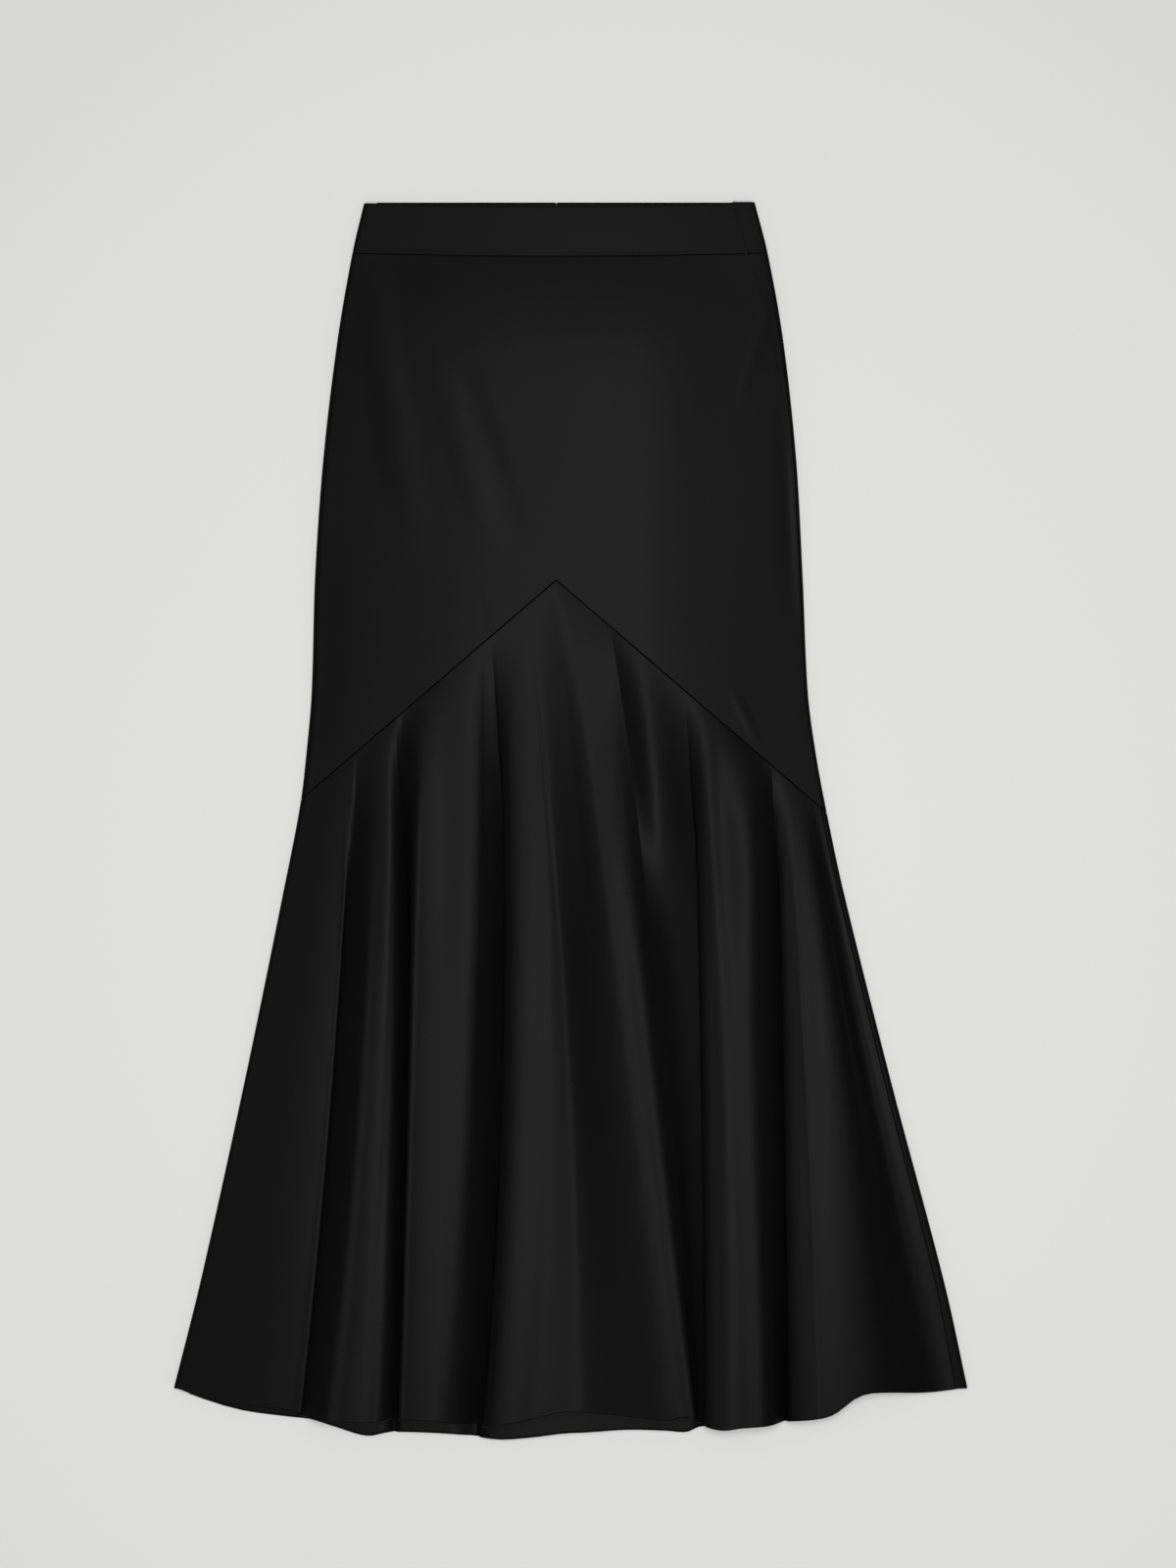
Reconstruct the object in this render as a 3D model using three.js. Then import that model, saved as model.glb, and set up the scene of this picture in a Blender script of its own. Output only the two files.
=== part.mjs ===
// A long black mermaid skirt, laid out flat on its back and smoothed by hand: a shaped waistband, a body fitted over
// the hips, and a flared flounce set into a pointed seam that rises to an apex at the centre front and centre back.
//
// Frame: millimetres. X runs across the skirt (+X is the wearer's left), +Y towards the waist, +Z up off the surface
// that it lies on. The origin is on that surface, in the middle of the skirt's footprint.
//
// The cloth is one tube. A place on it is told by its height y and by a loop distance: how far it is round the tube's
// outer face, from 0 at the left end of the upper layer, across to the right, round the right-hand edge and back
// underneath. Each panel is a stretch of that loop, made as a closed wall of cloth by wallOf().

import * as THREE from "three";

// ---- Driving dimensions ----
const CLOTH = 1.2; // wall of the single cloth
const BAND_CLOTH = 2.0; // wall of the waistband: folded double, with interfacing
const SEAM_GAP = 0.4; // clear gap between two pieces that are sewn together
const CENTRE_X = -12; // centre front and centre back line
const APEX_Y = 203; // top of the pointed seam
const POINT_SLOPE = 0.857; // fall of the pointed seam for each millimetre to either side
const WAIST_TOP = 522.5;
const WAIST_SEAM = 480;
const FRONT_DIP = 2.6; // how far the front waist edge and its seam sag at the middle
const BACK_RISE = 0.8; // how far the back waist edge stands above the front one at the sides
const ROLL_UNDER = 8; // how far the front is rolled under along the wearer's right side
const HEM_TIP = -480; // hem at the two sides
const VALLEY = 3.2; // least height of the front's outer face, where it lies on the back layer
const NEST = 0.22; // height of the back layer's folds, as a share of the front folds above them
const NEST_FROM = 7; // height of front fold at which the back layer starts to rise under it
const HIP_LOFT = 4.5; // how far the smoothed hips stand up in the middle
const LOFT_TOP = 400; // height y where they stand up most
const LOFT_FOOT = 60; // height y where only LOFT_LEFT of it is left
const LOFT_LEFT = 0.2;
const FOLD_GROWTH = 3.2; // how quickly the folds rise below the seam
const UPPER_SHARE = 0.55; // share of the flounce's length over which the folds go over to their lower heights
const ZIP_END = 330; // foot of the back opening
const ZIP_WIDTH = 3;
const ZIP_TOP_MARGIN = 2;

// Outline of the laid skirt. left, right: the two side edges. roll: how far the back shows on top, along the wearer's
// left side. height: thickness of the whole tube at its edges.
const OUTLINE = [
  { at: "waist edge", y: 523, left: -174.5, right: 156, roll: 16, height: 5.2 },
  { at: "waist seam", y: 480, left: -184.5, right: 167, roll: 14, height: 5.4 },
  { at: "high hip", y: 407, left: -197, right: 180, roll: 6, height: 6 },
  { at: "hip", y: 307, left: -209, right: 191, roll: 2, height: 6 },
  { at: "low hip", y: 208, left: -216, right: 196.5, roll: 1.3, height: 6 },
  { at: "thigh", y: 108, left: -219, right: 201, roll: 1.2, height: 6 },
  { at: "above knee", y: 58, left: -223.3, right: 207.5, roll: 1.2, height: 6 },
  { at: "knee", y: 14, left: -228.5, right: 215.5, roll: 1.2, height: 6 },
  { at: "below knee", y: -58, left: -242.4, right: 230.7, roll: 1.4, height: 6 },
  { at: "calf", y: -224, left: -276.4, right: 272.2, roll: 4, height: 6 },
  { at: "shin", y: -390, left: -313, right: 316.2, roll: 6.5, height: 6 },
  { at: "hem tip", y: -480, left: -335.5, right: 336, roll: 10, height: 6 },
];

// Soft creases that cross the smoothed hips, from one end to the other.
const HIP_CREASES = [
  { x0: -182, y0: 470, x1: -143, y1: 262, width: 26, height: -1.6 },
  { x0: -116, y0: 400, x1: -52, y1: 225, width: 20, height: 1.5 },
  { x0: 164, y0: 446, x1: 138, y1: 360, width: 14, height: -1.4 },
  { x0: 172, y0: 350, x1: 176, y1: 235, width: 18, height: -1.2 },
];

// Lines of the flounce's folds between its side edges, in order from left to right. Each runs from seam, its x on the
// pointed seam, to hem, its x on the hem, with a sideways bow half way. upper: height of the cloth there just below
// the seam, once the fold is full. lower: its height from UPPER_SHARE of the way down. sharp: the cloth turns there
// in a sharp angle.
const FOLD_LINES = [
  { line: "panel a", seam: -212, hem: -319, bow: 2, upper: 8, lower: 8 },
  { line: "panel b", seam: -202, hem: -263, bow: 4, upper: 11.5, lower: 10 },
  { line: "panel lip", seam: -190.5, hem: -235.5, bow: 7, upper: 13.5, lower: 10.5 },
  { line: "panel edge", seam: -185.5, hem: -227, bow: 6, upper: 13, lower: 10 },
  { line: "notch 1", seam: -180, hem: -223, bow: 8, upper: 4.2, lower: 4.2, sharp: true },
  { line: "ridge 1 rise", seam: -168.5, hem: -211, bow: 9, upper: 19, lower: 19.5 },
  { line: "ridge 1 left", seam: -159, hem: -192.5, bow: 6, upper: 21.5, lower: 21 },
  { line: "ridge 1 crest", seam: -147, hem: -171.5, bow: 4, upper: 20.5, lower: 20.5 },
  { line: "ridge 1 fall", seam: -143.5, hem: -155.5, bow: 3, upper: 15, lower: 18 },
  { line: "notch 2", seam: -139.5, hem: -148.5, bow: 2, upper: 4.2, lower: 4.2, sharp: true },
  { line: "ridge 2 rise", seam: -129, hem: -144, bow: 0, upper: 18, lower: 20.5 },
  { line: "ridge 2 left", seam: -122, hem: -138, bow: 2, upper: 20, lower: 22 },
  { line: "ridge 2 crest", seam: -102.5, hem: -114, bow: 4, upper: 17, lower: 22 },
  { line: "ridge 2 right", seam: -83.5, hem: -101.5, bow: 7, upper: 12.5, lower: 21 },
  { line: "ridge 2 fall", seam: -74.5, hem: -93.5, bow: 8, upper: 12, lower: 18 },
  { line: "notch 3", seam: -66.5, hem: -75.5, bow: 14, upper: 4.2, lower: 4.2, sharp: true },
  { line: "ridge 3 rise", seam: -64, hem: -72.5, bow: 13, upper: 22, lower: 27 },
  { line: "ridge 3 crest", seam: -41.5, hem: -44.5, bow: 18, upper: 23, lower: 30 },
  { line: "ridge 3 shoulder", seam: -36, hem: -4, bow: 10, upper: 22, lower: 29 },
  { line: "ridge 3 fall", seam: -30, hem: 17, bow: 6, upper: 20, lower: 27.5 },
  { line: "hollow", seam: -15, hem: 55.5, bow: 1, upper: 13, lower: 21.5 },
  { line: "ridge 4 rise", seam: -3, hem: 79.5, bow: 4, upper: 9.5, lower: 18 },
  { line: "ridge 4 crest", seam: 11, hem: 90.5, bow: 7, upper: 9.5, lower: 17 },
  { line: "ridge 4 fall", seam: 30.5, hem: 97.5, bow: 5, upper: 9.5, lower: 17.5 },
  { line: "valley 4", seam: 38.5, hem: 101, bow: 7, upper: 5, lower: 17, sharp: true },
  { line: "short ridge", seam: 58, hem: 104, bow: 7, upper: 20.5, lower: 11 },
  { line: "notch 5", seam: 93.5, hem: 107, bow: 7, upper: 4.2, lower: 4.2, sharp: true },
  { line: "ridge 5 rise", seam: 97.5, hem: 110, bow: 5, upper: 7, lower: 18 },
  { line: "ridge 5 left", seam: 109.5, hem: 128.5, bow: 4, upper: 20, lower: 22 },
  { line: "ridge 5 crest", seam: 123.5, hem: 149.5, bow: 3, upper: 20, lower: 23.5 },
  { line: "ridge 5 fall", seam: 152.5, hem: 165.5, bow: 3, upper: 24.5, lower: 22 },
  { line: "notch 6", seam: 164.5, hem: 174.5, bow: 7, upper: 4.2, lower: 4.2, sharp: true },
  { line: "ridge 6 rise", seam: 167.5, hem: 182.5, bow: 5, upper: 10.5, lower: 14 },
  { line: "ridge 6 left", seam: 171.5, hem: 205.5, bow: 4, upper: 19, lower: 18.5 },
  { line: "ridge 6 crest", seam: 174.5, hem: 218.5, bow: 4, upper: 15, lower: 19.5 },
  { line: "ridge 6 fall", seam: 201.5, hem: 259.5, bow: 5, upper: 16, lower: 19.5 },
  { line: "foot", seam: 204.5, hem: 310.5, bow: 0, upper: 8.5, lower: 5 },
  { line: "right roll", seam: 208, hem: 318, bow: 1, upper: 9, lower: 5.5 },
];

// The hems: height y of the front one and of the back one at x.
const HEMS = [
  { x: -335, front: -479, back: -480 },
  { x: -309, front: -488, back: -490 },
  { x: -278, front: -495, back: -499 },
  { x: -242, front: -497.5, back: -504 },
  { x: -217, front: -503.5, back: -507 },
  { x: -200, front: -505.5, back: -512 },
  { x: -172, front: -506.5, back: -520 },
  { x: -153, front: -504.5, back: -517 },
  { x: -118, front: -505, back: -517.5 },
  { x: -85, front: -509, back: -520 },
  { x: -60, front: -507.5, back: -523 },
  { x: -35, front: -503, back: -521.5 },
  { x: -6, front: -496.5, back: -518 },
  { x: 15, front: -497, back: -517 },
  { x: 48, front: -501, back: -515 },
  { x: 81, front: -505.5, back: -516 },
  { x: 98, front: -502.5, back: -517 },
  { x: 108, front: -508, back: -513 },
  { x: 127, front: -512.5, back: -511 },
  { x: 144, front: -510.5, back: -509.5 },
  { x: 164, front: -509, back: -507 },
  { x: 178, front: -507, back: -505 },
  { x: 206, front: -504, back: -503 },
  { x: 222, front: -499.5, back: -499 },
  { x: 241, front: -485.5, back: -487 },
  { x: 257, front: -481.5, back: -483 },
  { x: 305, front: -483, back: -483 },
  { x: 336, front: -479, back: -480 },
];

// Steps of the meshes
const FOLD_STEPS = 3; // from one fold line to the next, in front
const BACK_FOLD_STEPS = 1;
const FRONT_ROWS = 16;
const BACK_ROWS = 13;
const TURN_STEPS = 4; // round a side edge
const PANEL_COLUMNS = 22;
const BACK_COLUMNS = 9; // across each half of the back
const BAND_ROWS = 2;

// ---- Small helpers ----
const mix = (a, b, k) => a + (b - a) * k;
const smooth = (k) => k * k * (3 - 2 * k);
const range = (n) => Array.from({ length: n + 1 }, (_, i) => i / n);

// A column of a table at a place on its axis: a cubic curve through the rows, whose tangents are the slopes between
// each row's two neighbours.
function curveThrough(table, axis, column, place) {
  const last = table.length - 1;
  const forward = table[last][axis] > table[0][axis];
  const slope = (i) => {
    const a = table[Math.max(i - 1, 0)];
    const b = table[Math.min(i + 1, last)];
    return (b[column] - a[column]) / (b[axis] - a[axis]);
  };
  let i = 0;
  while (i < last - 1 && (forward ? place > table[i + 1][axis] : place < table[i + 1][axis])) i++;
  const [from, to] = [table[i], table[i + 1]];
  const span = to[axis] - from[axis];
  const k = (place - from[axis]) / span;
  return (
    from[column] * (1 - smooth(k)) +
    to[column] * smooth(k) +
    slope(i) * span * k * (1 - k) ** 2 -
    slope(i + 1) * span * k * k * (1 - k)
  );
}
const outlineAt = (column, y) => curveThrough(OUTLINE, "y", column, y);

const seamY = (x) => APEX_Y - POINT_SLOPE * Math.abs(x - CENTRE_X);

// How far across the waist x is, as a hump from 0 at the two sides to 1 at the centre.
const waistHump = (x) => Math.cos(THREE.MathUtils.clamp((x - CENTRE_X) / 340, -0.5, 0.5) * Math.PI);

// Height that the hip creases add at (x, y): each is a trough or ridge with a cosine section, and it fades to its ends.
function creaseHeight(x, y) {
  return HIP_CREASES.reduce((sum, c) => {
    const [dx, dy] = [c.x1 - c.x0, c.y1 - c.y0];
    const length = Math.hypot(dx, dy);
    const along = ((x - c.x0) * dx + (y - c.y0) * dy) / length ** 2;
    const across = ((x - c.x0) * dy - (y - c.y0) * dx) / length / c.width;
    if (along <= 0 || along >= 1 || Math.abs(across) >= 1) return sum;
    return sum + c.height * Math.sin(Math.PI * along) * Math.cos((Math.PI / 2) * across) ** 2;
  }, 0);
}

// Height that the smoothed hips stand up at (x, y): a low dome across the skirt, which starts below the waist seam and
// dies out down the thighs.
function hipLoft(x, y) {
  const [left, right] = [outlineAt("left", y), outlineAt("right", y)];
  const across = THREE.MathUtils.clamp((2 * x - left - right) / (right - left), -1, 1);
  const rise = smooth(THREE.MathUtils.clamp((WAIST_SEAM + 5 - y) / (WAIST_SEAM + 5 - LOFT_TOP), 0, 1));
  const fall = smooth(THREE.MathUtils.clamp((LOFT_TOP - y) / (LOFT_TOP - LOFT_FOOT), 0, 1));
  return HIP_LOFT * (1 - across ** 2) ** 2 * rise * mix(1, LOFT_LEFT, fall);
}

// ---- The tube ----

// The tube's measures at height y: its edge radius, the ends of its level runs and their width.
function tubeAt(y) {
  const radius = outlineAt("height", y) / 2;
  const left = outlineAt("left", y) + radius;
  const right = outlineAt("right", y) - radius;
  return { radius, left, right, width: right - left, turn: Math.PI * radius };
}

// The point of the tube's outer face at height y and loop distance d.
function tubePoint(y, d) {
  const { radius, left, right, width, turn } = tubeAt(y);
  if (d >= 0 && d <= width) {
    const x = left + d;
    const faded = smooth(Math.min(1, d / 20, (width - d) / 20));
    return new THREE.Vector3(x, y, 2 * radius + hipLoft(x, y) + creaseHeight(x, y) * faded);
  }
  const past = d < 0 ? -d : d - width;
  const angle = Math.min(past / radius, Math.PI);
  const under = Math.max(0, past - turn);
  const out = radius * Math.sin(angle) - under;
  return new THREE.Vector3(d < 0 ? left - out : right + out, y, radius * (1 + Math.cos(angle)));
}

// Loop distances at height y of the seams and the centre back line.
const loop = {
  rightSeam: (y) => tubeAt(y).width - outlineAt("roll", y),
  rightEdge: (y) => tubeAt(y).width,
  rightUnder: (y) => tubeAt(y).width + tubeAt(y).turn,
  centreBack: (y) => tubeAt(y).width + tubeAt(y).turn + tubeAt(y).right - CENTRE_X,
  leftSeamFromRight: (y) => 2 * (tubeAt(y).width + tubeAt(y).turn) - tubeAt(y).turn - ROLL_UNDER,
  leftSeam: (y) => -tubeAt(y).turn - ROLL_UNDER,
  leftUnder: (y) => -tubeAt(y).turn,
};

// Columns between two loop distances, each a function of y; the first of them is left out.
const columnsTo = (from, to, steps) =>
  range(steps)
    .slice(1)
    .map((k) => (y) => mix(from(y), to(y), k));
const moved = (place, by) => (y) => place(y) + by;

// A panel of the plain tube: columns are loop distances, and the rows run from the curve top(x) down to bottom(x).
function tubeGrid(columns, rowShares, top, bottom) {
  const heightOn = (curve, column) => {
    let y = curve(CENTRE_X);
    for (let i = 0; i < 12; i++) y = curve(tubePoint(y, column(y)).x);
    return y;
  };
  const ends = columns.map((c) => [heightOn(top, c), heightOn(bottom, c)]);
  return rowShares.map((t) =>
    columns.map((c, i) => {
      const y = mix(ends[i][0], ends[i][1], t);
      return tubePoint(y, c(y));
    }),
  );
}

// ---- Walls of cloth ----

// A closed wall from a grid of points on its outer face. Each point of the inner face is its outer point, moved in
// along the surface normal by the cloth's thickness.
function wallOf(grid, thickness) {
  const [rows, cols] = [grid.length, grid[0].length];
  const at = (j, i) =>
    grid[THREE.MathUtils.clamp(j, 0, rows - 1)][THREE.MathUtils.clamp(i, 0, cols - 1)];
  const positions = [];
  const push = (p) => positions.push(p.x, p.y, p.z);
  grid.flat().forEach(push);
  for (let j = 0; j < rows; j++)
    for (let i = 0; i < cols; i++) {
      const across = at(j, i + 1).clone().sub(at(j, i - 1));
      const down = at(j + 1, i).clone().sub(at(j - 1, i));
      const normal = down.cross(across).normalize();
      push(at(j, i).clone().addScaledVector(normal, -thickness));
    }
  const outer = (j, i) => j * cols + i;
  const inner = (j, i) => rows * cols + j * cols + i;
  const index = [];
  const quad = (a, b, c, d) => index.push(a, b, c, a, c, d);
  for (let j = 0; j < rows - 1; j++)
    for (let i = 0; i < cols - 1; i++) {
      quad(outer(j, i), outer(j + 1, i), outer(j + 1, i + 1), outer(j, i + 1));
      quad(inner(j, i), inner(j, i + 1), inner(j + 1, i + 1), inner(j + 1, i));
    }
  for (let i = 0; i < cols - 1; i++) {
    quad(outer(0, i), outer(0, i + 1), inner(0, i + 1), inner(0, i));
    quad(outer(rows - 1, i + 1), outer(rows - 1, i), inner(rows - 1, i), inner(rows - 1, i + 1));
  }
  for (let j = 0; j < rows - 1; j++) {
    quad(outer(j + 1, 0), outer(j, 0), inner(j, 0), inner(j + 1, 0));
    quad(outer(j, cols - 1), outer(j + 1, cols - 1), inner(j + 1, cols - 1), inner(j, cols - 1));
  }
  const geometry = new THREE.BufferGeometry();
  geometry.setAttribute("position", new THREE.Float32BufferAttribute(positions, 3));
  geometry.setIndex(index);
  geometry.computeVertexNormals();
  return geometry;
}

const skirt = new THREE.Group();
const crepe = { color: 0x141415, roughness: 0.62, metalness: 0 };

function addPiece(name, geometry, finish = crepe) {
  const mesh = new THREE.Mesh(geometry, new THREE.MeshStandardMaterial(finish));
  mesh.name = name;
  skirt.add(mesh);
}

// ---- Front and back of the waistband and of the fitted body ----

const half = SEAM_GAP / 2;
const backHalf = (y) => half + (ZIP_WIDTH / 2 + half) * smooth(THREE.MathUtils.clamp((y - ZIP_END + 8) / 8, 0, 1));
const frontColumns = [
  moved(loop.leftSeam, half),
  ...columnsTo(moved(loop.leftSeam, half), loop.leftUnder, 1),
  ...columnsTo(loop.leftUnder, () => 0, TURN_STEPS),
  ...columnsTo(() => 0, (y) => CENTRE_X - tubeAt(y).left, PANEL_COLUMNS / 2),
  ...columnsTo((y) => CENTRE_X - tubeAt(y).left, moved(loop.rightSeam, -half), PANEL_COLUMNS / 2),
];
const backLeftEnd = (y) => loop.centreBack(y) - backHalf(y);
const backLeftColumns = [
  moved(loop.rightSeam, half),
  ...columnsTo(moved(loop.rightSeam, half), loop.rightEdge, 1),
  ...columnsTo(loop.rightEdge, loop.rightUnder, TURN_STEPS),
  ...columnsTo(loop.rightUnder, backLeftEnd, BACK_COLUMNS),
];
const backRightStart = (y) => loop.centreBack(y) + backHalf(y);
const backRightColumns = [
  backRightStart,
  ...columnsTo(backRightStart, moved(loop.leftSeamFromRight, -half), BACK_COLUMNS),
];

const frontWaist = (x) => WAIST_TOP - FRONT_DIP * waistHump(x);
const backWaist = () => WAIST_TOP + BACK_RISE;
const frontWaistSeam = (x) => WAIST_SEAM - FRONT_DIP * waistHump(x);
const backWaistSeam = () => WAIST_SEAM;
const lowered = (curve, by) => (x) => curve(x) - by;
const seamRise = half * Math.hypot(1, POINT_SLOPE);

const bandShares = range(BAND_ROWS);
// Two of the body's rows close in on the foot of the zip opening.
const zipShare = (WAIST_SEAM - ZIP_END) / (WAIST_SEAM - APEX_Y);
const panelShares = [0, 0.13, 0.27, 0.4, zipShare, zipShare + 0.035, 0.68, 0.78, 0.89, 1];

addPiece("waistband_front", wallOf(tubeGrid(frontColumns, bandShares, frontWaist, lowered(frontWaistSeam, -half)), BAND_CLOTH));
addPiece("waistband_back_left", wallOf(tubeGrid(backLeftColumns, bandShares, backWaist, lowered(backWaistSeam, -half)), BAND_CLOTH));
addPiece("waistband_back_right", wallOf(tubeGrid(backRightColumns, bandShares, backWaist, lowered(backWaistSeam, -half)), BAND_CLOTH));
addPiece("skirt_front", wallOf(tubeGrid(frontColumns, panelShares, lowered(frontWaistSeam, half), lowered(seamY, -seamRise)), CLOTH));
addPiece("skirt_back_left", wallOf(tubeGrid(backLeftColumns, panelShares, lowered(backWaistSeam, half), lowered(seamY, -seamRise)), CLOTH));
addPiece("skirt_back_right", wallOf(tubeGrid(backRightColumns, panelShares, lowered(backWaistSeam, half), lowered(seamY, -seamRise)), CLOTH));

// ---- Flounce ----

const growth = (t) => 1 - (1 - t) ** FOLD_GROWTH;
const hemY = (layer, x) => curveThrough(HEMS, "x", layer, x);

// x of a layer's side edge at height y: on each side, one layer reaches the edge and the other stops at the seam.
const edgeX = {
  front: {
    left: (y) => tubeAt(y).left,
    right: (y) => tubeAt(y).right - outlineAt("roll", y) - half,
  },
  back: {
    left: (y) => tubeAt(y).left + ROLL_UNDER + half,
    right: (y) => tubeAt(y).right,
  },
};

// Height at which a side edge of a flounce layer meets the pointed seam.
function edgeStart(layer, side) {
  let y = 0;
  for (let i = 0; i < 12; i++) y = seamY(edgeX[layer][side](y)) - seamRise;
  return y;
}

// Section of the flounce's top at share t of the way from the seam to the hem, as columns of x and z: a smooth run of
// curve through the fold lines, from each sharp line to the next. It starts as the body's own surface at the seam,
// and each line's height grows from there.
function sectionAt(t, layer, steps) {
  const edge = (side) => {
    const y = mix(edgeStart(layer, side), HEM_TIP, t);
    return new THREE.Vector3(edgeX[layer][side](y), 0, 2 * tubeAt(y).radius);
  };
  const folds = FOLD_LINES.map(({ seam, hem, bow, upper, lower }) => {
    const full = mix(upper, lower, smooth(Math.min(1, t / UPPER_SHARE)));
    const from = tubePoint(seamY(seam), seam - tubeAt(seamY(seam)).left).z;
    return new THREE.Vector3(mix(seam, hem, t) + 4 * bow * t * (1 - t), 0, mix(from, full, growth(t)));
  });
  const points = [edge("left"), ...folds, edge("right")];
  const sharp = points.map((_, i) => i).filter((i) => i > 0 && (i > folds.length || FOLD_LINES[i - 1].sharp));
  const runs = sharp.map((end, i) => points.slice(sharp[i - 1] ?? 0, end + 1));
  return [
    points[0],
    ...runs.flatMap((run) =>
      new THREE.CatmullRomCurve3(run, false, "centripetal").getPoints((run.length - 1) * steps).slice(1),
    ),
  ];
}

// The back lies level, and rises a little under each high fold of the front.
function nested(z) {
  const above = Math.max(0, z - NEST_FROM);
  return NEST * above * smooth(Math.min(1, above / 10));
}

function flounceGrid(layer, steps, shares) {
  const seams = sectionAt(0, layer, steps);
  const hems = sectionAt(1, layer, steps);
  return shares.map((t) =>
    sectionAt(t, layer, steps).map(({ x, z }, i, { length }) => {
      const end = i === 0 || i === length - 1 ? HEM_TIP : hemY(layer, hems[i].x);
      const y = mix(seamY(seams[i].x) - seamRise, end, t);
      return new THREE.Vector3(x, y, layer === "front" ? Math.max(z, VALLEY) : nested(z));
    }),
  );
}

// Columns that turn round a side edge of the flounce.
const edgeGrid = (columns, shares) => tubeGrid(columns, shares, lowered(seamY, seamRise), () => HEM_TIP);
const beside = (a, b) => a.map((row, j) => [...row, ...b[j]]);
const flounceShares = (rows) => range(rows).map((k) => k ** 1.25);

const frontShares = flounceShares(FRONT_ROWS);
const leftTurn = [
  moved(loop.leftSeam, half),
  ...columnsTo(moved(loop.leftSeam, half), loop.leftUnder, 1),
  ...columnsTo(loop.leftUnder, () => 0, TURN_STEPS).slice(0, -1),
];
const frontFolds = flounceGrid("front", FOLD_STEPS, frontShares);
addPiece("flounce_front", wallOf(beside(edgeGrid(leftTurn, frontShares), frontFolds), CLOTH));

const backRows = flounceShares(BACK_ROWS);
const rightTurn = [
  moved(loop.rightSeam, half),
  ...columnsTo(moved(loop.rightSeam, half), loop.rightEdge, 1),
  ...columnsTo(loop.rightEdge, loop.rightUnder, TURN_STEPS).slice(0, -1),
];
const backFolds = flounceGrid("back", BACK_FOLD_STEPS, backRows).map((row) => row.reverse());
addPiece("flounce_back", wallOf(beside(edgeGrid(rightTurn, backRows), backFolds), CLOTH));

// ---- Closed zip in the centre back seam ----

const zipLength = backWaist() - ZIP_TOP_MARGIN - ZIP_END - SEAM_GAP;
const zip = new THREE.BoxGeometry(ZIP_WIDTH, zipLength, CLOTH);
zip.translate(CENTRE_X, ZIP_END + SEAM_GAP + zipLength / 2, CLOTH / 2);
addPiece("back_zip", zip, { color: 0x101011, roughness: 0.5, metalness: 0 });

export default skirt;
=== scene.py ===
import bpy
import numpy as np
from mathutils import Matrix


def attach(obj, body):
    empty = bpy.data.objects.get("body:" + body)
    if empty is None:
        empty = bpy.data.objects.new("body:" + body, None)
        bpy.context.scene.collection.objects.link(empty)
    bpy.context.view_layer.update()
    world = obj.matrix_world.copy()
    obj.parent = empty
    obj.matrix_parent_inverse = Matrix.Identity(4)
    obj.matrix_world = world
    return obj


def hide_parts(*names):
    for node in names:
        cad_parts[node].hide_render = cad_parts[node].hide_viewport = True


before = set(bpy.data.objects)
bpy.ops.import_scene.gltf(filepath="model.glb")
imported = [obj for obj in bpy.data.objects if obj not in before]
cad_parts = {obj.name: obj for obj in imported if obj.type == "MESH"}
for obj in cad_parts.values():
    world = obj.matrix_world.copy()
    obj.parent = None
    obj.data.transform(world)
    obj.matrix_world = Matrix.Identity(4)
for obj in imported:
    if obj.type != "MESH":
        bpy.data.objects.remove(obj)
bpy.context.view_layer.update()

# ---- Crepe -------------------------------------------------------------------------------------------------
# Heavy crepe of hard-twisted polyester yarn with a little elastane, woven and then dyed black in the piece.
# The twist gives the cloth a fine pebbled grain and a dull sheen that lifts where it faces the light.
CREPE_DEEP = "#0a0a0a"
CREPE_WORN = "#0d0d0d"
GRAIN_MM = 1.1  # the real pebbles are about 0.5 mm apart: drawn twice as coarse, so that they show
RIB_MM = 2 * GRAIN_MM  # faint ribs across the cloth, two pebbles apart
BANDS_PER_UNIT = 3.15  # about how many bands a wave texture has to one unit at a scale of 1
PATCHES_PER_METRE = 28.0  # where the dye took unevenly: patches about 36 mm wide


def linear(hex_colour):
    """sRGB hex to linear RGBA: c / 12.92 below 0.04045, and ((c + 0.055) / 1.055) to the power 2.4 above."""
    c = np.array([int(hex_colour[i : i + 2], 16) for i in (1, 3, 5)]) / 255
    return (*np.where(c < 0.04045, c / 12.92, ((c + 0.055) / 1.055) ** 2.4), 1.0)


def add_node(tree, kind, inputs=None, **settings):
    """Adds one node. inputs maps its sockets' names to numbers or to other nodes' output sockets."""
    made = tree.nodes.new(kind)
    for name, value in settings.items():
        setattr(made, name, value)
    for name, value in (inputs or {}).items():
        if isinstance(value, bpy.types.NodeSocket):
            tree.links.new(value, made.inputs[name])
        else:
            made.inputs[name].default_value = value
    return made


def new_material(name):
    """An empty node material with its output node."""
    material = bpy.data.materials.new(name)
    material.use_nodes = True
    material.node_tree.nodes.clear()
    return material, material.node_tree, add_node(material.node_tree, "ShaderNodeOutputMaterial")


crepe, tree, output = new_material("crepe_polyester_black")
cloth = add_node(tree, "ShaderNodeAttribute", attribute_name="cloth").outputs["Vector"]
patches = add_node(tree, "ShaderNodeTexNoise", {"Vector": cloth, "Scale": PATCHES_PER_METRE, "Detail": 3.0})
pebbles = add_node(
    tree,
    "ShaderNodeTexNoise",
    {"Vector": cloth, "Scale": 1000 / GRAIN_MM, "Detail": 2.0, "Roughness": 0.6},
)
ribs = add_node(
    tree,
    "ShaderNodeTexWave",
    {"Vector": cloth, "Scale": 1000 / RIB_MM / BANDS_PER_UNIT, "Distortion": 2.0, "Detail": 1.0},
    bands_direction="Y",
)
grain = add_node(
    tree,
    "ShaderNodeMix",
    {"Factor": 0.3, "A": pebbles.outputs["Fac"], "B": ribs.outputs["Fac"]},
)
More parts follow.
